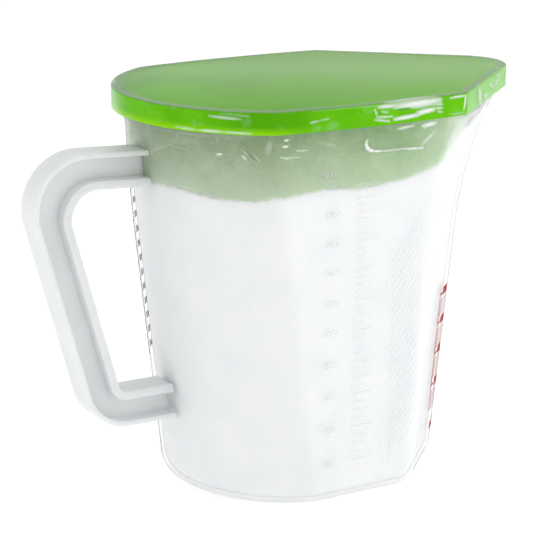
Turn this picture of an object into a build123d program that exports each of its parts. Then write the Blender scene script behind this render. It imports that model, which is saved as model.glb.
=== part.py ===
"""Lidded pouring jug with an H-section handle, filled with a dry powder and
sealed round the lid by a band of shrink film.

Frame: millimetres, +Z up, +X towards the pouring spout, -X towards the handle.
The origin is on the underside of the jug, on its plane of symmetry.
"""
from build123d import *
import math
import os

# ---- driving dimensions, mm ----------------------------------------------

# Plan outlines of the jug wall. Each one is a rear arc, two nearly flat sides
# and two spout facets that meet in a rounded nose.
# rear: x of the rear arc; crease: x and half width where arc and side meet;
# corner: x and half width where side and facet meet; apex: x where the facets
# would meet; nose: radius of the nose.
BASE = dict(rear=-63.4, crease=(-19.7, 59.0), corner=(32.2, 57.5), apex=87.2, nose=41.0)
NECK = dict(rear=-82.8, crease=(-42.6, 63.0), corner=(47.0, 61.0), apex=110.5, nose=39.3)
LID = dict(rear=-86.2, crease=(-46.7, 67.5), corner=(52.2, 68.1), apex=129.0, nose=23.6)

wall_crease_radius = 14.0    # rounds the wall where rear arc meets side
wall_corner_radius = 10.5    # rounds the wall where side meets spout facet
lid_crease_radius = 13.0
lid_corner_radius = 2.5
mouth_corner_radius = 8.0    # rounder than the lid's, so the skirt slips over it
wall_bulge = 0.4             # how far a side bows outwards at its middle
lid_bulge = 2.8

jug_height = 187.6           # underside to the mouth edge
mouth_height = 7.6           # upright wall that the lid presses on to
neck_height = jug_height - mouth_height
wall = 1.8
floor_thickness = 2.2
base_edge_radius = 9.0
mouth_wall = 1.8
ledge_thickness = 1.6

flare_start = 115.0          # height where the nose starts to swing outwards
flare_reach = 18.0           # extra apex reach at the neck
flare_nose_loss = 14.0       # the nose gets sharper by this much at the neck
rear_tuck = 2.4              # the rear wall turns upright, in from its taper, at the neck

lid_thickness = 2.4
skirt_wall = 1.7
skirt_depth = 10.1           # from the top of the lid to the skirt's lower edge
plug_wall = 1.4
lid_edge_chamfer = 0.5

handle_width = 16.0          # along Y, the width of both flanges
handle_depth = 16.8          # from the outer face to the inner face
outer_flange = 2.4
inner_flange = 4.0
web_thickness = 2.4
handle_top_z = 165.0         # upper face of the top arm at the wall
handle_bottom_z = 36.2       # lower face of the bottom arm
grip_top = (-145.0, 168.9)   # sharp corner of the outer face, x and z
grip_bottom = (-108.4, 36.2)
grip_top_radius = 26.0       # outer radius of the upper bend
grip_bottom_radius = 22.0
gap_top_radius = 13.0        # corners of the finger gap
gap_bottom_radius = 4.0
handle_inside_x = -58.0      # the arms are modelled this far in, then cut at the wall

powder_level = 151.0
film_thickness = 0.4
neck_band_depth = 13.9       # from the skirt's lower edge to the film's cut
print_thickness = 0.2
print_width = 24.0
front_print = (14.0, 88.0)   # lower and upper edge of the scale by the spout
front_print_centre_x = 31.0
front_print_angle = -40.0    # direction it faces in plan, from +X
rear_print = (57.0, 148.0)
rear_print_centre_x = 0.0
rear_print_angle = 149.5

# ---- named clearances ----------------------------------------------------

mouth_clearance = 0.35       # lid to mouth wall, on each side
band_split_gap = 0.4         # between the two halves of the shrink band
plug_clearance = 0.6         # plug ring to the ledge
powder_gap = 0.15            # between the powder and the jug's inner wall

same_place = 1e-3            # two places nearer than this are one
beyond = 400.0               # longer than the jug in any direction


# ---- plan outlines -------------------------------------------------------

def blend(low, high, share):
    """Outline a given share of the way from one outline to another."""
    def mix(a, b):
        return a + (b - a) * share
    return dict(
        rear=mix(low["rear"], high["rear"]),
        crease=tuple(mix(a, b) for a, b in zip(low["crease"], high["crease"])),
        corner=tuple(mix(a, b) for a, b in zip(low["corner"], high["corner"])),
        apex=mix(low["apex"], high["apex"]),
        nose=mix(low["nose"], high["nose"]),
    )


def wall_outline(z):
    """Outline of the jug's outside at a height, with the flared nose."""
    outline = blend(BASE, NECK, z / neck_height)
    flare = max(0.0, (z - flare_start) / (neck_height - flare_start)) ** 2
    outline["apex"] += flare_reach * flare
    outline["nose"] -= flare_nose_loss * flare
    outline["rear"] += rear_tuck * flare
    return outline


def grown(edge, centre, amount):
    """An edge of a smooth convex outline, moved outwards."""
    points = []
    for share in (0, 0.5, 1):
        place = edge.position_at(share)
        normal = edge.tangent_at(share).cross(Vector(0, 0, 1))
        if normal.dot(place - centre) < 0:
            normal = -normal
        points.append(place + normal * amount)
    if edge.geom_type == GeomType.LINE:
        return Edge.make_line(points[0], points[2])
    return Edge.make_three_point_arc(*points)


def outline_wire(outline, z, bulge, crease_radius, corner_radius, grow=0.0):
    """Closed wire of an outline at a height, moved outwards by grow."""
    crease_x, crease_w = outline["crease"]
    corner_x, corner_w = outline["corner"]
    middle = ((crease_x + corner_x) / 2, (crease_w + corner_w) / 2 + bulge)

    rear = Edge.make_three_point_arc((crease_x, crease_w), (outline["rear"], 0), (crease_x, -crease_w))
    near = Edge.make_three_point_arc((crease_x, -crease_w), (middle[0], -middle[1]), (corner_x, -corner_w))
    near_facet = Edge.make_line((corner_x, -corner_w), (outline["apex"], 0))
    far_facet = Edge.make_line((outline["apex"], 0), (corner_x, corner_w))
    far = Edge.make_three_point_arc((corner_x, corner_w), middle, (crease_x, crease_w))
    face = Face(Wire([rear, near, near_facet, far_facet, far]))

    def corners(x):
        return [v for v in face.vertices() if abs(v.X - x) < same_place]

    face = face.fillet_2d(outline["nose"], corners(outline["apex"]))
    face = face.fillet_2d(crease_radius, corners(crease_x))
    face = face.fillet_2d(corner_radius, corners(corner_x))
    edges = [grown(edge, face.center(), grow) for edge in face.outer_wire().edges()]
    return Wire(edges).moved(Location((0, 0, z)))


def wall_wire(z, grow=0.0):
    return outline_wire(wall_outline(z), z, wall_bulge, wall_crease_radius, wall_corner_radius, grow)


def lid_wire(z, grow=0.0):
    return outline_wire(LID, z, lid_bulge, lid_crease_radius, lid_corner_radius, grow)


def mouth_wire(z, grow):
    """Outline of the mouth wall and the plug, inside the lid's outline."""
    return outline_wire(LID, z, lid_bulge, lid_crease_radius, mouth_corner_radius, grow)


def prism(wire, height):
    """Solid that stands on a closed flat wire."""
    return extrude(Face(wire), height, dir=(0, 0, 1))


def wall_solid(low, high, grow=0.0):
    """Body of the jug's wall between two heights: straight, then flared."""
    straight = Solid.make_loft([wall_wire(low, grow), wall_wire(flare_start, grow)], ruled=True)
    steps = [flare_start + (high - flare_start) * share for share in (0, 1 / 3, 2 / 3, 1)]
    flared = Solid.make_loft([wall_wire(z, grow) for z in steps])
    return (straight + flared).solids()[0]


def ring(outer, inner):
    """Solid between two shapes, as one plain solid."""
    return (outer - inner).solids()[0]


# ---- jug -----------------------------------------------------------------

lip_grow = -(skirt_wall + mouth_clearance)   # mouth wall's outside, from the lid's outline
cavity_grow = -wall


def edges_at(shape, z):
    return [edge for edge in shape.edges() if abs(edge.center().Z - z) < same_place]


def cavity(gap=0.0):
    """Room inside the jug's wall, less a gap all round it."""
    room = wall_solid(floor_thickness, neck_height, cavity_grow - gap)
    return fillet(edges_at(room, floor_thickness), base_edge_radius - wall)


def jug_shell():
    mouth_low = neck_height + ledge_thickness
    collar = prism(mouth_wire(neck_height, lip_grow), jug_height - neck_height)
    mouth = prism(mouth_wire(mouth_low, lip_grow - mouth_wall), jug_height - mouth_low)
    throat = prism(wall_wire(neck_height, cavity_grow), ledge_thickness)
    outside = fillet(edges_at(body, 0), base_edge_radius)
    return (outside - cavity()) + (collar - mouth - throat)


# ---- handle --------------------------------------------------------------

def inset_corner(before, corner, after, amount):
    """A path's corner, moved square to both of its runs towards the inside."""
    to_before = (before - corner).normalized()
    to_after = (after - corner).normalized()
    half = math.radians(to_before.get_angle(to_after)) / 2
    return corner + (to_before + to_after).normalized() * (amount / math.sin(half))


def handle_region(amount, top_radius, bottom_radius):
    """Plan of the space inside the handle's outer face, moved in by an amount."""
    start = Vector(handle_inside_x, handle_top_z)
    top = Vector(*grip_top)
    bottom = Vector(*grip_bottom)
    end = Vector(handle_inside_x, handle_bottom_z)
    top_normal = (top - start).normalized().cross(Vector(0, 0, 1)) * -1
    points = [
        start + top_normal * amount,
        inset_corner(start, top, bottom, amount),
        inset_corner(top, bottom, end, amount),
        end + Vector(0, amount),
    ]
    face = Face(Wire.make_polygon(points, close=True))

    def nearest(point):
        return [min(face.vertices(), key=lambda v: (Vector(v) - point).length)]

    face = face.fillet_2d(top_radius, nearest(points[1]))
    return face.fillet_2d(bottom_radius, nearest(points[2]))


def handle():
    """Web between two wide flanges, cut off where it meets the wall."""
    whole = handle_region(0, grip_top_radius, grip_bottom_radius)
    under_outer = handle_region(outer_flange, grip_top_radius - outer_flange,
                                grip_bottom_radius - outer_flange)
    over_inner = handle_region(handle_depth - inner_flange, gap_top_radius + inner_flange,
                               gap_bottom_radius + inner_flange)
    gap = handle_region(handle_depth, gap_top_radius, gap_bottom_radius)
    outer = extrude(whole - under_outer, handle_width / 2, dir=(0, 0, 1), both=True)
    web = extrude(under_outer - over_inner, web_thickness / 2, dir=(0, 0, 1), both=True)
    inner = extrude(over_inner - gap, handle_width / 2, dir=(0, 0, 1), both=True)
    upright = Rot(90, 0, 0) * (outer + web + inner)
    return upright - body


# ---- lid -----------------------------------------------------------------

lid_top = jug_height + lid_thickness
skirt_low = lid_top - skirt_depth
neck_band_low = skirt_low - neck_band_depth
plug_depth = mouth_height - ledge_thickness - plug_clearance


def lid():
    """Flat plate with a skirt outside the mouth wall and a plug ring inside it."""
    block = prism(lid_wire(skirt_low), skirt_depth)
    block = chamfer(edges_at(block, lid_top), lid_edge_chamfer)
    inside = prism(lid_wire(skirt_low, -skirt_wall), jug_height - skirt_low)
    plug_grow = lip_grow - mouth_wall - mouth_clearance
    plug_low = jug_height - plug_depth
    plug = prism(mouth_wire(plug_low, plug_grow), plug_depth)
    plug -= prism(mouth_wire(plug_low, plug_grow - plug_wall), plug_depth)
    return block - (inside - plug)


# ---- contents, shrink band and printed scales ------------------------------

def powder_fill():
    level = Box(beyond, beyond, powder_level, align=(Align.CENTER, Align.CENTER, Align.MIN))
    return cavity(powder_gap) & level


def lid_band():
    """Upper half of the shrink band, round the skirt."""
    outside = prism(lid_wire(skirt_low, film_thickness), skirt_depth)
    return ring(outside, prism(lid_wire(skirt_low), skirt_depth))


def neck_band():
    """Lower half of the shrink band, from the skirt's edge in to the neck."""
    high = skirt_low - band_split_gap
    outside = Solid.make_loft([wall_wire(neck_band_low, film_thickness), lid_wire(high, film_thickness)])
    inside = Solid.make_loft([wall_wire(neck_band_low), lid_wire(high)])
    return ring(outside, inside)


def printed_panel(centre_x, angle, low, high):
    """Thin skin on the outside of the wall, facing a direction in plan."""
    skin = wall_solid(0, neck_height, print_thickness) - body
    window = Box(beyond, print_width, high - low, align=(Align.MIN, Align.CENTER, Align.MIN))
    window = Pos(centre_x, 0, low) * Rot(0, 0, angle) * window
    return (skin & window).solids()[0]


body = wall_solid(0, neck_height)

nodes = {
    "jug_shell": jug_shell(),
    "handle": handle(),
    "lid": lid(),
    "powder_fill": powder_fill(),
    "lid_shrink_band": lid_band(),
    "neck_shrink_band": neck_band(),
    "front_scale_print": printed_panel(front_print_centre_x, front_print_angle, *front_print),
    "rear_scale_print": printed_panel(rear_print_centre_x, rear_print_angle, *rear_print),
}

os.makedirs("parts", exist_ok=True)
for name, shape in nodes.items():
    shape.label = name
    export_step(shape, f"parts/{name}.step")
    print(name, len(shape.solids()), round(shape.volume / 1000, 1), "cm3", shape.is_valid)
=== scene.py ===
"""Lidded pouring jug of dry powder, sealed with a shrink band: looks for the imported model."""
import bpy
import math
import random
import numpy as np
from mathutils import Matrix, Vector, noise
from mathutils.bvhtree import BVHTree


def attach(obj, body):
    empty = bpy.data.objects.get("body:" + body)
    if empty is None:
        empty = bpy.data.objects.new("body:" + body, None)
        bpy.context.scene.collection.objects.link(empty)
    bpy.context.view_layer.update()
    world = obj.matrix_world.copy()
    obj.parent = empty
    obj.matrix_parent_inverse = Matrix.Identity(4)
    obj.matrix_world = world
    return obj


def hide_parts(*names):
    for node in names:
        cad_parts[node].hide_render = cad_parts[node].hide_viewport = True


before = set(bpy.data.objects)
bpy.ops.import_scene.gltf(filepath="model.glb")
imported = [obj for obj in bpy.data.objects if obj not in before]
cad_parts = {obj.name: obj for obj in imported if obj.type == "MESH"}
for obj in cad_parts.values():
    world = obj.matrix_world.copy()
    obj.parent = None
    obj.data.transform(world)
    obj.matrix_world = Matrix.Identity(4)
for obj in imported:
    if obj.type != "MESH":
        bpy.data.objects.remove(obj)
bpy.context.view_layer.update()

mm = 0.001


# ---- camera -----------------------------------------------------------------
# A long lens on the jug from its handle side, a little above the lid, so that
# the handle comes towards the eye and the spout points away.
azimuth = math.radians(-29.35)
elevation = math.radians(15.1)
look_at = Vector((-0.01078, 0.00606, 0.09835))
back = Vector((math.sin(azimuth) * math.cos(elevation), -math.cos(azimuth) * math.cos(elevation),
               math.sin(elevation)))
bpy.ops.object.camera_add(location=look_at + back * 1.0604)
camera = bpy.context.object
camera.rotation_mode = "QUATERNION"
camera.rotation_quaternion = (-back).to_track_quat("-Z", "Y")
camera.data.lens = 148.2
camera.data.sensor_width = 36.0
bpy.context.scene.camera = camera


# ---- studio -----------------------------------------------------------------
# White paper lit until it shows no tone, an even white room, one broad soft
# lamp off the spout's near side and another behind the handle.
bpy.context.scene.view_settings.view_transform = "Standard"


def finish_named(name, colour, roughness, **values):
    """New node material with its even values on the shader; returns it with its shader."""
    material = bpy.data.materials.new(name)
    material.use_nodes = True
    shader = material.node_tree.nodes["Principled BSDF"]
    shader.inputs["Base Color"].default_value = (*colour, 1)
    shader.inputs["Roughness"].default_value = roughness
    for socket, value in values.items():
        shader.inputs[socket.replace("_", " ")].default_value = value
    return material, shader


bpy.ops.mesh.primitive_plane_add(size=8, location=(0, 0, 0))
floor = bpy.context.object
floor.name = "floor"
paper, paper_shader = finish_named("white paper", (0.9, 0.9, 0.9), 0.9, Emission_Strength=0.3)
paper_shader.inputs["Emission Color"].default_value = (1, 1, 1, 1)
floor.data.materials.append(paper)
room = bpy.data.worlds.new("white room")
room.use_nodes = True
room.node_tree.nodes["Background"].inputs["Color"].default_value = (1, 1, 1, 1)
room.node_tree.nodes["Background"].inputs["Strength"].default_value = 0.86
bpy.context.scene.world = room

for name, place, width, height, power in (("spout side lamp", (1.0, -0.75, 0.45), 0.7, 0.9, 3.6),
                                          ("handle side lamp", (-1.2, 0.15, 0.4), 0.7, 0.9, 0.8)):
    bpy.ops.object.light_add(type="AREA", location=place)
    lamp = bpy.context.object
    lamp.name = name
    lamp.data.shape = "RECTANGLE"
    lamp.data.size = width
    lamp.data.size_y = height
    lamp.data.energy = power
    lamp.rotation_mode = "QUATERNION"
    lamp.rotation_quaternion = (look_at - lamp.location).to_track_quat("-Z", "Y")


# ---- powder -----------------------------------------------------------------
# Fine white powder, poured in through the mouth and shaken down. Its top lies
# uneven, a little higher by the spout, with a ragged edge against the wall.
powder_line = ((-95, 152.0), (-73.7, 152.0), (-63.3, 149.4), (-49.2, 148.7), (-44.1, 150.6),
               (-30.8, 151.3), (-17.9, 152.6), (0, 151.0), (23.5, 152.2), (37.6, 155.6), (51, 160.0),
               (60, 165.0), (72, 171.0), (85, 174.0), (110, 174.0))
jug_wall = BVHTree.FromPolygons([v.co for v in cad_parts["jug_shell"].data.vertices],
                                [p.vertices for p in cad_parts["jug_shell"].data.polygons])


def only(piece):
    """Leaves one object selected and active."""
    bpy.ops.object.select_all(action="DESELECT")
    piece.select_set(True)
    bpy.context.view_layer.objects.active = piece


def merged_copy(node, name):
    """A free copy of a CAD node, with its loose triangles joined up."""
    piece = bpy.data.objects.new(name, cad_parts[node].data.copy())
    bpy.context.collection.objects.link(piece)
    only(piece)
    bpy.ops.object.mode_set(mode="EDIT")
    bpy.ops.mesh.select_all(action="SELECT")
    bpy.ops.mesh.remove_doubles(threshold=0.00001)
    bpy.ops.object.mode_set(mode="OBJECT")
    piece.data.materials.clear()
    return piece


def modify(piece, kind, **settings):
    """Adds a modifier with its settings and applies it."""
    only(piece)
    change = piece.modifiers.new(kind.lower(), kind)
    for name, value in settings.items():
        setattr(change, name, value)
    bpy.ops.object.modifier_apply(modifier=change.name)


def powder_height(x):
    """Height of the powder's edge against the wall at a place along the jug."""
    xs, zs = zip(*powder_line)
    return float(np.interp(x / mm, xs, zs)) * mm


core_x = 10 * mm
usual_reach = 70 * mm


def reach(direction, z):
    """How far the jug's inner wall is from the jug's core, at a height."""
    hit = jug_wall.ray_cast(Vector((core_x, 0, z)), direction)
    return hit[3] or usual_reach


powder = merged_copy("powder_fill", "powder")
modify(powder, "REMESH", mode="VOXEL", voxel_size=1.5 * mm)
settled = 140 * mm
flat_top = 151 * mm
gap = 0.2 * mm
for vertex in powder.data.vertices:
    place = vertex.co
    if place.z > settled:
        share = (place.z - settled) / (flat_top - settled)
        lumps = noise.noise(place * 90) * 0.9 + noise.noise(place * 420) * 0.55
        z = settled + share * (powder_height(place.x) + lumps * mm - settled)
        out = Vector((place.x - core_x, place.y, 0))
        grow = (reach(out.normalized(), z) - gap) / (reach(out.normalized(), place.z) - gap)
        vertex.co = Vector((core_x, 0, z)) + out * grow
only(powder)
bpy.ops.object.shade_smooth()

grains, shader = finish_named("white powder", (0.90, 0.91, 0.92), 0.95, Specular_IOR_Level=0.1)
tree = grains.node_tree


def wire(tree, source, target):
    """Joins two sockets."""
    tree.links.new(source, target)


def new_node(tree, kind, **values):
    """Adds a shader node and sets its inputs by name."""
    added = tree.nodes.new(kind)
    for name, value in values.items():
        added.inputs[name.replace("_", " ")].default_value = value
    return added


def place_on(tree):
    """The piece's own coordinates in metres."""
    return tree.nodes.new("ShaderNodeTexCoord").outputs["Object"]


def axes(tree):
    """Sockets X, Y and Z of the piece's own coordinates."""
    split = tree.nodes.new("ShaderNodeSeparateXYZ")
    wire(tree, place_on(tree), split.inputs[0])
    return split.outputs


def mottle(tree, scale, detail=3.0, roughness=0.6):
    """Noise on the piece's own coordinates."""
    cloud = new_node(tree, "ShaderNodeTexNoise", Scale=scale, Detail=detail, Roughness=roughness)
    wire(tree, place_on(tree), cloud.inputs["Vector"])
    return cloud.outputs["Fac"]


def mix_colours(tree, share, first, second):
    """Mixes two colours, each a constant or a socket; returns the result's socket."""
    mixer = tree.nodes.new("ShaderNodeMix")
    mixer.data_type = "RGBA"
    for socket, value in ((mixer.inputs[0], share), (mixer.inputs[6], first), (mixer.inputs[7], second)):
        if isinstance(value, bpy.types.NodeSocket):
            wire(tree, value, socket)
        elif isinstance(value, tuple):
            socket.default_value = (*value, 1)
        else:
            socket.default_value = value
    return mixer.outputs[2]


def span(tree, value, low, high, start=0.0, end=1.0):
    """Maps a value from one range to another, clamped."""
    ranger = new_node(tree, "ShaderNodeMapRange")
    wire(tree, value, ranger.inputs["Value"])
    for name, number in (("From Min", low), ("From Max", high), ("To Min", start), ("To Max", end)):
        ranger.inputs[name].default_value = number
    return ranger.outputs["Result"]


def raise_by(tree, height, shader, distance, strength=1.0):
    """Bump on a shader from a height socket."""
    bump = new_node(tree, "ShaderNodeBump", Distance=distance, Strength=strength)
    wire(tree, height, bump.inputs["Height"])
    wire(tree, bump.outputs["Normal"], shader.inputs["Normal"])


packed = span(tree, mottle(tree, 60), 0.35, 0.65)
wire(tree, mix_colours(tree, packed, (0.88, 0.895, 0.91), (0.92, 0.925, 0.935)), shader.inputs["Base Color"])
raise_by(tree, mottle(tree, 900, 2.0), shader, 0.3 * mm, 0.6)
powder.data.materials.append(grains)
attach(powder, "jug")
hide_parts("powder_fill")


# ---- jug shell --------------------------------------------------------------
# Clear, slightly milky plastic, injection moulded. Where the powder doesn't reach, its inside is clouded
# with clinging dust, tinted with painted light: a painted green cast of light through the lid, and painted
# shade that grows toward the lid. At glancing angles its outside carries a painted dark outline.
clear, shader = finish_named("clear jug plastic", (0.8, 0.83, 0.82), 0.16, IOR=1.5)
tree = clear.node_tree
place = axes(tree)
edge = tree.nodes.new("ShaderNodeFloatCurve")
points = edge.mapping.curves[0].points
first_x, last_x = powder_line[0][0], powder_line[-1][0]
floor_z, roof_z = 140, 180
for number, (x, z) in enumerate(powder_line):
    spot = ((x - first_x) / (last_x - first_x), (z - floor_z) / (roof_z - floor_z))
    if number in (0, len(powder_line) - 1):
        points[0 if number == 0 else -1].location = spot
    else:
        points.new(*spot)
for point in points:
    point.handle_type = "VECTOR"
edge.mapping.update()
wire(tree, span(tree, place["X"], first_x * mm, last_x * mm), edge.inputs["Value"])
line = span(tree, edge.outputs[0], 0, 1, floor_z * mm, roof_z * mm)


def sums(tree, operation, first, second):
    """Arithmetic on two values, each a constant or a socket."""
    step = tree.nodes.new("ShaderNodeMath")
    step.operation = operation
    for socket, value in zip(step.inputs, (first, second)):
        if isinstance(value, bpy.types.NodeSocket):
            wire(tree, value, socket)
        else:
            socket.default_value = value
    return step.outputs[0]


above = sums(tree, "SUBTRACT", place["Z"], line)
ragged = sums(tree, "ADD", above, span(tree, mottle(tree, 420, 3.0), 0.3, 0.7, -0.7 * mm, 0.7 * mm))
above_powder_mask = span(tree, ragged, -1.3 * mm, -0.3 * mm)
# Above the powder the wall's tint is partly real clinging dust and partly painted light. It carries a
# painted green cast of light through the lid, and painted shade darkens it further up toward the lid. Its
# tone shifts along the jug, paler at the spout end.
deep = span(tree, above, 2 * mm, 26 * mm)
clouds = span(tree, mottle(tree, 45, 5.0, 0.7), 0.3, 0.7)
specks = span(tree, mottle(tree, 1100, 2.0), 0.5, 0.7)
handle_side = span(tree, place["X"], -80 * mm, 45 * mm)
low_dust_and_lid_light = mix_colours(tree, handle_side, (0.60, 0.71, 0.53), (0.52, 0.74, 0.42))
high_dust_and_lid_shade = mix_colours(tree, handle_side, (0.26, 0.36, 0.20), (0.33, 0.58, 0.23))
dust_and_lid_light = mix_colours(tree, deep, low_dust_and_lid_light, high_dust_and_lid_shade)
by_spout = span(tree, place["X"], 22 * mm, 60 * mm, 0.0, 0.85)
dust_and_lid_light = mix_colours(tree, by_spout, dust_and_lid_light, (0.66, 0.82, 0.62))
dust_and_lid_light = mix_colours(tree, sums(tree, "MULTIPLY", clouds, 0.35), dust_and_lid_light, (0.58, 0.68, 0.52))
dust_and_lid_light = mix_colours(tree, sums(tree, "MULTIPLY", specks, 0.25), dust_and_lid_light, (0.66, 0.70, 0.60))
# Painted shade: at glancing angles the outside of the wall turns dark grey and less clear, a painted dark
# outline along its edges.
rim = new_node(tree, "ShaderNodeLayerWeight", Blend=0.5)
side = tree.nodes.new("ShaderNodeNewGeometry")
outside = span(tree, side.outputs["Backfacing"], 0, 1, 1, 0)
glancing = sums(tree, "MULTIPLY", span(tree, rim.outputs["Facing"], 0.80, 0.93), outside)
wire(tree, span(tree, glancing, 0, 1, 0.5, 0.0), shader.inputs["Specular IOR Level"])
body_tone = mix_colours(tree, above_powder_mask, (0.8, 0.83, 0.82), dust_and_lid_light)
wire(tree, mix_colours(tree, glancing, body_tone, (0.14, 0.15, 0.16)), shader.inputs["Base Color"])
bare = span(tree, glancing, 0, 1, 0.07, 0.8)
hazy = span(tree, clouds, 0, 1, 0.52, 0.68)
mixed = tree.nodes.new("ShaderNodeMix")
wire(tree, above_powder_mask, mixed.inputs[0])
wire(tree, bare, mixed.inputs[2])
wire(tree, hazy, mixed.inputs[3])
wire(tree, mixed.outputs[0], shader.inputs["Alpha"])
jug_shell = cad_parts["jug_shell"]
jug_shell.data.materials.clear()
jug_shell.data.materials.append(clear)


# ---- handle -----------------------------------------------------------------
# The same plastic, thick enough to look milky. An H-section moulding: a web
# between two wide flanges, its edges broken by the mould's small radius.
def moulding(node, name, flat, radius, segments, sharp, smooth):
    """A CAD node's copy, its flats cleared of triangles and its edges rounded. Angles are in degrees."""
    piece = merged_copy(node, name)
    only(piece)
    bpy.ops.object.mode_set(mode="EDIT")
    bpy.ops.mesh.select_all(action="SELECT")
    bpy.ops.mesh.dissolve_limited(angle_limit=math.radians(flat))
    bpy.ops.object.mode_set(mode="OBJECT")
    modify(piece, "BEVEL", width=radius, segments=segments, limit_method="ANGLE",
           angle_limit=math.radians(sharp))
    only(piece)
    bpy.ops.object.shade_smooth_by_angle(angle=math.radians(smooth))
    return piece


handle = moulding("handle", "handle_moulding", flat=0.5, radius=0.5 * mm, segments=3, sharp=50, smooth=35)

milky, shader = finish_named("milky handle plastic", (0.70, 0.72, 0.72), 0.32, Subsurface_Weight=0.7,
                             Subsurface_Scale=0.006, IOR=1.5)
shader.inputs["Subsurface Radius"].default_value = (1, 1, 1)
tree = milky.node_tree
clouded = span(tree, mottle(tree, 30, 4.0), 0.3, 0.7)
wire(tree, mix_colours(tree, clouded, (0.69, 0.715, 0.72), (0.75, 0.765, 0.77)), shader.inputs["Base Color"])
raise_by(tree, mottle(tree, 160, 2.0), shader, 0.12 * mm, 0.35)
handle.data.materials.append(milky)
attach(handle, "jug")
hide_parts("handle")


# ---- lid --------------------------------------------------------------------
# Glossy green plastic that lets a little light through: a flat plate with a
# skirt outside the jug's mouth and a plug ring inside it. It presses on.
lid = moulding("lid", "lid_moulding", flat=0.3, radius=0.2 * mm, segments=2, sharp=40, smooth=40)

green, shader = finish_named("green lid plastic", (0.14, 0.52, 0.004), 0.22, Specular_IOR_Level=0.05)
tree = green.node_tree
place = axes(tree)
on_top = span(tree, place["Z"], 189.3 * mm, 189.95 * mm)
to_spout = span(tree, place["X"], -90 * mm, 110 * mm)
uneven = span(tree, mottle(tree, 55, 2.0), 0.35, 0.65)
skirt = mix_colours(tree, uneven, (0.11, 0.46, 0.002), (0.14, 0.53, 0.004))
# Painted shade: the skirt darkens between about x -58 and -36 mm, where it turns from the rear curve to the
# side.
shaded = sums(tree, "MULTIPLY", span(tree, place["X"], -75 * mm, -58 * mm),
              span(tree, place["X"], -20 * mm, -36 * mm))
skirt = mix_colours(tree, sums(tree, "MULTIPLY", shaded, 0.75), skirt, (0.07, 0.34, 0.001))
blotches = span(tree, mottle(tree, 22, 2.0), 0.35, 0.68)
plate = mix_colours(tree, to_spout, (0.10, 0.35, 0.01), (0.20, 0.48, 0.05))
plate = mix_colours(tree, blotches, plate, (0.14, 0.45, 0.015))
# Painted light: a brighter yellow-green glow on the skirt's lower edge, between about x -52 and -24 mm.
painted_glow = sums(tree, "MULTIPLY", span(tree, place["X"], -24 * mm, -52 * mm),
            span(tree, place["Z"], 183.6 * mm, 180.6 * mm, 0.0, 0.8))
skirt = mix_colours(tree, painted_glow, skirt, (0.30, 0.72, 0.004))
wire(tree, mix_colours(tree, on_top, skirt, plate), shader.inputs["Base Color"])
raise_by(tree, mottle(tree, 35, 2.0), shader, 0.25 * mm, 0.25)
lid.data.materials.append(green)
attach(lid, "lid")
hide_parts("lid")


# ---- shrink band on the lid ---------------------------------------------------
# Clear shrink film, drawn tight round the skirt by heat and turned in a few millimetres over the lid's edge.
# Folds trapped in it show as white creases, which are partly real whitening of the film and partly painted
# glints and highlights. They also show as dark folds in painted shade.
around = 900
beyond_jug = 150 * mm
film_thickness = 0.05 * mm
finest = 0.52
middle = Vector((12 * mm, 0, 0))
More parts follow.
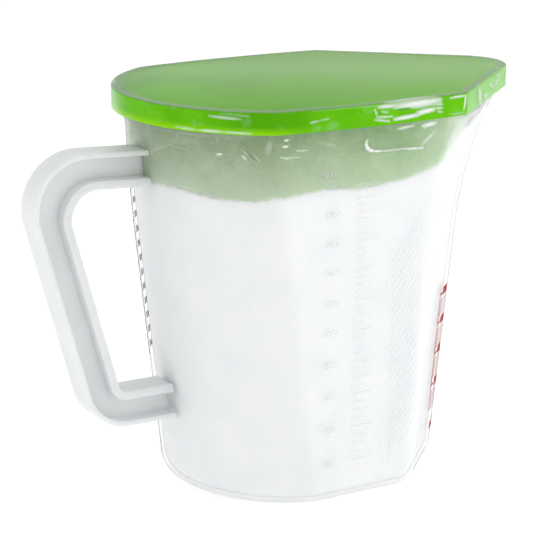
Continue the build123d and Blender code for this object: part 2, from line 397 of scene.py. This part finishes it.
# Each row: start, end (mm), width (mm), signed strength. White marks are partly whitened film and partly
# painted glints and highlights. Among them are a painted highlight line along the skirt's top edge and a
# broad painted highlight at the spout-side corner. Dark marks are painted shade in folds.
lid_creases = (
    ((3, -71, 188.6), (12, -71, 188.4), 0.9, 0.8),
    ((12, -71, 188.0), (36, -69.9, 188.2), 1.7, 0.8),
    ((8, -69.5, 190.2), (34, -68, 190.2), 2.2, 0.5),
    ((16, -71, 187.0), (30, -70.2, 187.2), 1.2, 0.6),
    ((11.5, -71, 182.2), (25, -70.5, 183.0), 0.9, 0.9),
    ((24, -70.5, 183.8), (33, -70.2, 184.6), 1.1, 0.9),
    ((0.9, -71, 188.0), (2.5, -71, 184.5), 0.4, 0.7),
    ((2, -71, 184.0), (10.5, -71, 183.6), 0.4, 0.8),
    ((1, -71, 183.0), (9, -71, 181.5), 0.45, 0.8),
    ((4, -71, 186.5), (8, -71, 185.6), 0.45, 0.6),
    ((3, -71, 185.4), (5, -71, 186.4), 0.35, -0.6),
    ((12, -71, 186.3), (24, -70.6, 186.4), 0.7, -0.45),
    ((33, -70.2, 186.8), (38, -69.8, 186.2), 0.4, 0.8),
    ((34, -70, 185.0), (38, -69.8, 184.6), 0.4, 0.8),
    ((35, -70, 183.4), (38, -69.8, 182.7), 0.45, 0.7),
    ((50.5, -68.6, 182.5), (51.2, -68.4, 189.0), 0.5, 0.8),
    ((42, -69.6, 188.7), (50.5, -68.6, 188.9), 0.6, 0.7),
    ((42, -69.6, 181.2), (52, -68.6, 181.0), 0.6, 0.4),
    ((69, -53.5, 188.5), (71, -52, 181.5), 3.0, 0.55),
    ((76, -47, 183), (82, -42, 182), 1.4, 0.5),
    ((84, -40, 187), (92, -32, 183), 1.3, 0.4),
    ((95, -29, 187), (104, -20, 183.5), 1.3, 0.5),
    ((106, -18, 188), (111, -12, 182), 1.8, 0.45),
    ((-79.3, -32.9, 181.2), (-73, -44.2, 181.0), 0.5, 0.45),
    ((-73, -44.2, 181.0), (-66, -52.8, 181.1), 0.55, 0.75),
    ((-66, -52.8, 181.1), (-56.5, -61.3, 180.8), 0.5, 0.5),
    ((-80, -31, 189.3), (-62, -57, 189.3), 0.4, 0.3),
    ((-62, -57, 189.3), (-30, -69.2, 189.3), 0.4, 0.3),
    ((-30, -69.2, 189.3), (8, -71, 189.3), 0.4, 0.25),
    ((-70, -48, 187.7), (-60, -58.7, 187.0), 0.7, 0.45),
    ((-66, -51.8, 189.0), (-57, -60.5, 188.4), 0.5, 0.5),
    ((-31, -69, 184.6), (-27, -69.3, 184.9), 0.35, 0.5),
    ((-26, -69.4, 185.2), (-22, -69.7, 185.6), 0.3, 0.4),
)


def tube(name, heights):
    """Open sleeve about the jug's middle, one ring of points at each height, top first."""
    bpy.ops.object.select_all(action="DESELECT")
    top = middle + Vector((0, 0, heights[0]))
    bpy.ops.mesh.primitive_circle_add(vertices=around, radius=beyond_jug, location=top)
    sleeve = bpy.context.object
    sleeve.name = name
    bpy.ops.object.mode_set(mode="EDIT")
    bpy.ops.mesh.select_all(action="SELECT")
    for upper, lower in zip(heights, heights[1:]):
        bpy.ops.mesh.extrude_region_move(TRANSFORM_OT_translate={"value": (0, 0, lower - upper)})
    bpy.ops.mesh.select_all(action="SELECT")
    bpy.ops.mesh.normals_make_consistent(inside=False)
    bpy.ops.object.mode_set(mode="OBJECT")
    bpy.ops.object.transform_apply(location=True, rotation=True, scale=True)
    return sleeve


def press_on(sleeve, surface, offset, low, high):
    """Moves the sleeve's points between two heights in to a surface, and that far off it."""
    for vertex in sleeve.data.vertices:
        if low <= vertex.co.z <= high:
            out = Vector((vertex.co.x - middle.x, vertex.co.y, 0)).normalized()
            hit = surface.ray_cast(vertex.co.copy(), -out)
            if hit[0]:
                vertex.co = hit[0] + out * offset


def surface_of(node):
    """A CAD node's surface, for casting rays at."""
    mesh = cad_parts[node].data
    return BVHTree.FromPolygons([v.co for v in mesh.vertices], [p.vertices for p in mesh.polygons])


def crease_strength(places, creases):
    """Signed strength of the creases at each place: white marks above 0, partly whitened film and partly
    painted glints; dark folds of painted shade below.
    """
    total = np.zeros(len(places))
    for start, end, width, strength in creases:
        a, b = np.array(start) * mm, np.array(end) * mm
        run = b - a
        share = np.clip(((places - a) @ run) / (run @ run), 0, 1)
        gap = np.linalg.norm(places - a - share[:, None] * run, axis=1) / (max(width, finest) * mm)
        mark = strength * (1 - 0.4 * (2 * share - 1) ** 2) * np.exp(-gap ** 2)
        total = np.where(abs(mark) > abs(total), mark, total)
    return total


def stray_creases(places, count, seed, longest, width, wanted):
    """Creases at seeded places, their white marks partly painted glints and their dark ones painted shade,
    for the sides that the listed ones leave bare.
    """
    chooser = random.Random(seed)
    found = []
    spots = [p for p in places if wanted(p)]
    while len(found) < count:
        start = Vector(chooser.choice(spots))
        end = Vector(chooser.choice(spots))
        if 2 * mm < (end - start).length < longest:
            strength = chooser.choice((0.9, 0.6, 0.4, -0.5, -0.35))
            found.append((start / mm, end / mm, width * chooser.uniform(0.6, 1.5), strength))
    return found


def crinkle(sleeve, creases, lift, ripple, seed, held):
    """Stores the creases, with their painted glints and shade, and how tightly the film holds, and raises
    them over a seeded ripple.
    """
    places = np.array([v.co for v in sleeve.data.vertices])
    strength = crease_strength(places, creases)
    marks = sleeve.data.attributes.new("crease", "FLOAT", "POINT")
    marks.data.foreach_set("value", strength.astype(np.float32))
    grip = sleeve.data.attributes.new("hold", "FLOAT", "POINT")
    grip.data.foreach_set("value", held.astype(np.float32))
    for vertex, mark in zip(sleeve.data.vertices, strength):
        place = vertex.co
        out = Vector((place.x - middle.x, place.y, 0)).normalized()
        waves = noise.noise(Vector((place.x * 70, place.y * 70, place.z * 160 + seed)))
        fine = noise.noise(Vector((place.x * 260, place.y * 260, place.z * 400 + seed)))
        vertex.co = place + out * (abs(mark) * lift + (0.5 + 0.5 * waves + 0.25 * fine) * ripple)


heights = [z * mm for z in (189.9, 189.7, *(189.4 - 0.5 * step for step in range(18)), 180.5, 180.1)]
lid_film = tube("lid_film", heights)
press_on(lid_film, surface_of("lid"), 0.12 * mm, 0, 1)
only(lid_film)
bpy.ops.object.mode_set(mode="EDIT")
bpy.ops.mesh.select_all(action="DESELECT")
bpy.ops.object.mode_set(mode="OBJECT")
for vertex in lid_film.data.vertices:
    vertex.select = vertex.co.z > 189.8 * mm
bpy.ops.object.mode_set(mode="EDIT")
for scale, rise in ((0.996, 0.22), (0.992, 0.06), (0.99, 0), (0.988, 0), (0.986, 0), (0.984, 0)):
    bpy.ops.mesh.extrude_region_move(TRANSFORM_OT_translate={"value": (0, 0, rise * mm)})
    bpy.ops.transform.resize(value=(scale, scale, 1), center_override=(middle.x, 0, 190 * mm))
bpy.ops.object.mode_set(mode="OBJECT")
for vertex in lid_film.data.vertices:
    if vertex.co.z > 190 * mm:
        out = Vector((vertex.co.x - middle.x, vertex.co.y, 0))
        inset = 1 - noise.noise(Vector((vertex.co.x * 25, vertex.co.y * 25, 2.0))) * 0.02
        vertex.co.x, vertex.co.y = middle.x + out.x * min(1, inset), out.y * min(1, inset)
spots = [v.co for v in lid_film.data.vertices]
lid_creases += tuple(stray_creases(spots, 46, 5, 16 * mm, 0.6, lambda p: p.y > 0.01 or p.x > 0.085))
rim_rings = np.arange(len(lid_film.data.vertices)) // around - len(heights)
held = np.where(rim_rings < 0, 1.0, np.clip(0.75 - 0.13 * rim_rings, 0, 1))
crinkle(lid_film, lid_creases, 0.22 * mm, 0.12 * mm, 3.0, held)
modify(lid_film, "SOLIDIFY", thickness=film_thickness, offset=1.0)
only(lid_film)
bpy.ops.object.shade_smooth()

film, shader = finish_named("shrink film", (1, 1, 1), 0.07, IOR=1.9)
tree = film.node_tree
mark = tree.nodes.new("ShaderNodeAttribute")
mark.attribute_name = "crease"
# Above 0 the crease mark lays white on the film, partly real whitening and partly painted glints and
# highlights. Below 0 it lays a dark green fold in painted shade.
white = span(tree, mark.outputs["Fac"], 0.10, 0.95, 0.0, 0.85)
dark = span(tree, mark.outputs["Fac"], -0.1, -0.9, 0.0, 0.6)
rim = new_node(tree, "ShaderNodeLayerWeight", Blend=0.4)
# Painted sheen: toward glancing angles the film is laid on whiter, with faint noise streaks over it, scaled
# by how tightly the film holds.
sheen = span(tree, rim.outputs["Facing"], 0.5, 0.85, 0.0, 0.15)
streaks = span(tree, mottle(tree, 130, 4.0), 0.56, 0.78, 0.0, 0.06)
hold = tree.nodes.new("ShaderNodeAttribute")
hold.attribute_name = "hold"
gloss = sums(tree, "MULTIPLY", sums(tree, "ADD", sheen, streaks), hold.outputs["Fac"])
place = axes(tree)
turned_in = span(tree, place["Z"], 189.95 * mm, 190.1 * mm)
veil = sums(tree, "MULTIPLY", sums(tree, "MULTIPLY", turned_in, hold.outputs["Fac"]), 0.28)
cover = sums(tree, "MAXIMUM", sums(tree, "MAXIMUM", white, dark), sums(tree, "ADD", gloss, veil))
wire(tree, cover, shader.inputs["Alpha"])
plain = mix_colours(tree, turned_in, (0.95, 0.97, 0.94), (0.36, 0.36, 0.42))
shaded_fold_colour = mix_colours(tree, span(tree, mark.outputs["Fac"], -0.25, 0.0), (0.10, 0.17, 0.07), plain)
wire(tree, mix_colours(tree, span(tree, mark.outputs["Fac"], 0.1, 0.3), shaded_fold_colour, (0.95, 0.97, 0.94)),
     shader.inputs["Base Color"])
raise_by(tree, mottle(tree, 220, 3.0), shader, 0.15 * mm, 0.4)
lid_film.data.materials.append(film)
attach(lid_film, "lid")
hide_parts("lid_shrink_band")


# ---- shrink band round the neck -----------------------------------------------
# The lower half of the same band. It draws in from the skirt's edge to the jug
# below the ledge, in a slack tent with pockets and folds, and ends in a wavy cut.
film_line = ((-95, 172), (-85, 172), (-68, 168.2), (-51, 166.2), (-37, 167), (-27, 166.5), (1, 166.6),
             (5, 164.8), (8.5, 160.5), (11, 156.0), (13, 154.0), (17, 153.6), (26, 155.0), (36, 158.0),
             (47, 160.5), (60, 162), (80, 165), (105, 170))
# Rows as on the lid. The white marks are partly whitened film and partly painted glints, including a
# pocket's painted bright rim. The dark ones are painted shade in folds.
neck_creases = (
    ((-86, -8, 177), (-78, -25.2, 170.8), 0.35, -0.6),
    ((-78, -25.2, 170.8), (-75, -30.2, 169.1), 0.5, 1.0),
    ((-67, -44, 166.8), (-64.5, -47, 169.5), 0.55, 1.0),
    ((-65.3, -46.2, 169.7), (-63.8, -48.1, 169.9), 0.5, 1.0),
    ((-57, -54.9, 170.0), (-55.4, -54.9, 168.0), 0.5, 0.6),
    ((-58, -56, 175), (-52, -57.5, 168), 0.9, -0.7),
    ((-55.5, -57, 172.5), (-50, -59, 167.2), 0.6, 0.35),
    ((-56, -58, 171), (-47, -61, 166.5), 0.7, -0.5),
    ((-46, -64.5, 173.4), (-36, -65, 172), 0.6, -0.6),
    ((-50, -62, 175), (-40, -66.5, 175.5), 0.5, -0.5),
    ((-72, -38, 176), (-64, -49, 175), 1.4, -0.25),
    ((-42.8, -67.5, 177.6), (-41.4, -67.5, 177.6), 0.4, 1.0),
    ((-43, -66.3, 174.6), (-41, -66.3, 174.5), 0.4, 1.0),
    ((-36, -65.5, 172), (-30, -65.3, 171.5), 0.6, 0.4),
    ((-40, -64, 169), (-33, -64, 168.5), 0.5, 0.35),
    ((-0.2, -67.6, 178), (-0.9, -67.3, 174.5), 0.5, 0.45),
    ((-0.9, -67.3, 174.5), (-0.6, -66.3, 172), 0.6, 0.7),
    ((-0.6, -66.3, 172), (0.4, -65.2, 170), 0.7, 0.9),
    ((0.4, -65.2, 170), (2.2, -64.1, 168.2), 0.8, 1.0),
    ((2.2, -64.1, 168.2), (5, -63.3, 167), 0.8, 1.0),
    ((5, -63.3, 167), (10, -62.9, 166.3), 0.6, 0.95),
    ((10, -62.9, 166.3), (20, -62.5, 166.1), 0.5, 0.75),
    ((20, -62.5, 166.2), (33, -61.5, 165.3), 0.5, 0.8),
    ((-57.5, -55.8, 173), (-53, -58.6, 167.5), 0.8, 0.4),
    ((-49, -65.5, 178), (-49, -62, 169), 2.2, 0.22),
    ((-43, -64, 169.3), (-38.4, -64.2, 168.3), 0.6, 0.45),
    ((-72, -43.6, 177), (-64, -49.5, 172.5), 1.2, -0.3),
    ((-26, -67.5, 175), (-12, -66, 171), 1.6, 0.16),
    ((-18, -66, 171.5), (-6, -67.5, 174.5), 1.2, -0.22),
    ((-80, -18, 171.5), (-72, -36, 169.0), 1.2, 0.3),
    ((49, -62.3, 172), (68, -48, 176), 1.0, 0.4),
    ((60, -55, 171), (76, -43, 177), 1.2, 0.35),
    ((66, -50, 167), (84, -36, 176), 1.4, 0.3),
    ((44, -65, 176.5), (52, -60, 171), 1.3, -0.3),
    ((14, -69.5, 177.6), (22, -69.5, 178.4), 1.0, 0.6),
    ((28, -69.2, 177.5), (34, -69, 178), 1.2, 0.8),
    ((29.5, -69, 178), (29, -67, 172), 0.6, 0.4),
    ((36, -66.5, 173), (32, -63, 166.5), 1.5, 0.35),
    ((20, -67, 174.5), (38, -66, 176), 1.2, -0.4),
    ((6, -66, 174), (18, -65, 171), 2.5, -0.25),
    ((56, -62, 177), (53, -56, 163), 0.6, 0.6),
    ((62, -56, 177), (58, -52, 164), 0.6, 0.5),
    ((72, -47, 177), (66, -45, 166), 0.6, 0.4),
    ((14, -61.6, 153.4), (50, -56.5, 160.4), 0.45, 0.55),
)
rows = 34


def film_edge(x, y):
    """Height of the film's cut edge at a place in plan."""
    xs, zs = zip(*film_line)
    wander = noise.noise(Vector((x * 30, y * 30, 7.0))) * (3.0 if y > 0 else 0.5)
    return (float(np.interp(x / mm, xs, zs)) + wander) * mm


top_ring = 179.45 * mm
drop = 20 * mm
probe_z = 172 * mm
tent_low = 166.1 * mm
tent_gap, snug_gap = 0.1 * mm, 0.45 * mm
neck_film = tube("neck_film", [top_ring - drop * row / rows for row in range(rows + 1)])
tent_wall = surface_of("neck_shrink_band")
for vertex in neck_film.data.vertices:
    out = Vector((vertex.co.x - middle.x, vertex.co.y, 0)).normalized()
    share = (top_ring - vertex.co.z) / drop
    near = tent_wall.ray_cast(Vector((vertex.co.x, vertex.co.y, probe_z)), -out)[0]
    z = top_ring + (film_edge(near.x, near.y) - top_ring) * share
    target, off = (tent_wall, tent_gap) if z > tent_low else (jug_wall, snug_gap)
    start = Vector((vertex.co.x, vertex.co.y, z))
    tent = target.ray_cast(start, -out)[0] + out * off
    snug = jug_wall.ray_cast(start, -out)[0] + out * snug_gap
    tight = max((near.x - 40 * mm) / (25 * mm), (-62 * mm - near.x) / (14 * mm))
    drawn_in = min(1, max(0, tight)) * min(1, (top_ring - z) / (2.5 * mm))
    vertex.co = tent.lerp(snug, drawn_in)
spots = [v.co for v in neck_film.data.vertices]
neck_creases += tuple(stray_creases(spots, 60, 11, 18 * mm, 0.7, lambda p: p.y > 0.01 or p.x > 0.075))
crinkle(neck_film, neck_creases, 0.3 * mm, 0.4 * mm, 9.0, np.full(len(spots), 0.8))
modify(neck_film, "SOLIDIFY", thickness=film_thickness, offset=1.0)
only(neck_film)
bpy.ops.object.shade_smooth()
neck_film.data.materials.append(film)
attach(neck_film, "jug")
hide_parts("neck_shrink_band")


# ---- moulded scale ------------------------------------------------------------
# Raised figures and graduations on the jug's near side, formed by the mould in
# the wall's own plastic.
fill_marks = ((2000, 152.3), (1800, 139.2), (1600, 125.8), (1400, 112.0), (1200, 97.9), (1000, 83.3),
              (800, 68.2), (600, 52.7), (400, 36.6), (200, 19.9))
clear_of_jug = 0.1


def figure(text, height, x, z, weight=0.0):
    """Flat lettering in the XZ plane, its middle at x and z in millimetres, facing the near side."""
    bpy.ops.object.select_all(action="DESELECT")
    bpy.ops.object.text_add(location=(x * mm, -clear_of_jug, z * mm), rotation=(math.pi / 2, 0, 0))
    words = bpy.context.object
    words.data.body = text
    words.data.size = height * mm * 1.4
    words.data.offset = weight * mm
    words.data.align_x = "CENTER"
    words.data.align_y = "CENTER"
    words.data.resolution_u = 4
    bpy.ops.object.convert(target="MESH")
    return bpy.context.object


def stroke(start, end, width):
    """Flat bar in the XZ plane between two points in millimetres."""
    bpy.ops.object.select_all(action="DESELECT")
    run = Vector((end[0] - start[0], 0, end[1] - start[1]))
    centre = Vector(((start[0] + end[0]) / 2 * mm, -clear_of_jug, (start[1] + end[1]) / 2 * mm))
    slope = math.atan2(run.z, run.x)
    bpy.ops.mesh.primitive_plane_add(size=1, location=centre, rotation=(math.pi / 2, -slope, 0))
    bar = bpy.context.object
    bar.scale = (run.length * mm, width * mm, 1)
    bpy.ops.object.transform_apply(location=False, rotation=False, scale=True)
    bpy.ops.object.mode_set(mode="EDIT")
    bpy.ops.mesh.subdivide(number_cuts=2)
    bpy.ops.object.mode_set(mode="OBJECT")
    return bar


def joined(parts, name):
    """Several meshes as one, its place in its mesh."""
    bpy.ops.object.select_all(action="DESELECT")
    for part in parts:
        part.select_set(True)
    bpy.context.view_layer.objects.active = parts[0]
    bpy.ops.object.join()
    whole = bpy.context.object
    whole.name = name
    bpy.ops.object.transform_apply(location=True, rotation=True, scale=True)
    return whole


def lay_on_wall(piece, direction, thickness):
    """Presses flat marks on to the jug's wall along a direction, then gives them a thickness."""
    for vertex in piece.data.vertices:
        hit = jug_wall.ray_cast(vertex.co.copy(), direction)[0]
        vertex.co = hit - direction * (thickness + 0.03 * mm)
    only(piece)
    bpy.ops.object.mode_set(mode="EDIT")
    bpy.ops.mesh.select_all(action="SELECT")
    bpy.ops.mesh.remove_doubles(threshold=0.000001)
    bpy.ops.object.mode_set(mode="OBJECT")
    modify(piece, "SOLIDIFY", thickness=thickness, offset=-1.0)


parts = [figure("ccm", 5.0, -17.2, 158.3, 0.08)]
for amount, z in fill_marks:
    parts.append(figure(str(amount), 3.2, -14.5, z))
    parts.append(stroke((-2, z), (9, z), 0.55))
for (upper, high), (lower, low) in zip(fill_marks, fill_marks[1:]):
    for step, right in ((1, 4), (2, 6.5), (3, 4)):
        z = high + (low - high) * step / 4
        parts.append(stroke((-2, z), (right, z), 0.45))
for step in range(25):
    z = 15 + step * 4.1
    parts.append(stroke((18, z), (34, z + 21), 0.26))
scale = joined(parts, "moulded_scale")
lay_on_wall(scale, Vector((0, 1, 0)), 0.28 * mm)
raised, shader = finish_named("raised clear plastic", (0.82, 0.85, 0.84), 0.2, Alpha=0.19)
tree = raised.node_tree
wire(tree, mix_colours(tree, span(tree, mottle(tree, 200), 0.3, 0.7), (0.76, 0.8, 0.79), (0.86, 0.88, 0.87)),
     shader.inputs["Base Color"])
scale.data.materials.append(raised)
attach(scale, "jug")


# ---- printed scale by the spout -------------------------------------------------
# A second scale, printed in red on the facet beside the spout: figures at every
# fifth of a litre, fine graduations between them and a rule down one side.
def print_on(parts, name, centre_x, angle, node, ink_name, colour):
    """Turns flat marks to face a direction in plan and prints them on the wall."""
    whole = joined(parts, name)
    facing = Vector((math.cos(math.radians(angle)), math.sin(math.radians(angle)), 0))
    across = Vector((0, 0, 1)).cross(facing)
    for vertex in whole.data.vertices:
        vertex.co = (Vector((centre_x * mm, 0, vertex.co.z)) + facing * 0.12 + across * vertex.co.x)
    lay_on_wall(whole, -facing, 0.12 * mm)
    ink, shader = finish_named(ink_name, colour, 0.6, Specular_IOR_Level=0.0)
    tree = ink.node_tree
    worn = tuple(0.8 * part + 0.12 for part in colour)
    wire(tree, mix_colours(tree, span(tree, mottle(tree, 900, 2.0), 0.55, 0.75), colour, worn),
         shader.inputs["Base Color"])
    whole.data.materials.append(ink)
    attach(whole, "jug")
    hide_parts(node)


red_marks = ((800, 86), (600, 71.4), (400, 56), (200, 40))
parts = [stroke((-11, 27), (-11, 87), 0.3)]
for amount, z in red_marks:
    parts.append(figure(str(amount), 4.2, 0, z, 0.12))
    parts.append(stroke((-11, z), (-6, z), 0.9))
for step in range(28):
    z = 27.5 + step * 2.1
    if min(abs(z - mark[1]) for mark in red_marks) > 2.6:
        parts.append(stroke((-11, z), (4 if step % 2 else 8, z), 0.3))
parts.append(figure("ml", 5.0, 0, 17.5, 0.2))
print_on(parts, "red_scale", 31, -40, "front_scale_print", "red ink", (0.42, 0.02, 0.012))


# ---- printed scale by the handle ------------------------------------------------
# The same kind of scale in black, on the curved wall behind the handle.
parts = [stroke((-11, 59), (-11, 147), 0.3)]
for step in range(13):
    z = 59.5 + step * 7.2
    parts.append(stroke((7.5, z), (12, z), 1.6))
    parts.append(figure(str(600 + step * 100), 3.4, -3.5, z))
    for part in (1, 2, 3):
        if step < 12:
            parts.append(stroke((8 if part == 2 else 9.5, z + part * 1.8), (12, z + part * 1.8), 0.35))
print_on(parts, "black_scale", 0, 149.5, "rear_scale_print", "black ink", (0.015, 0.015, 0.018))
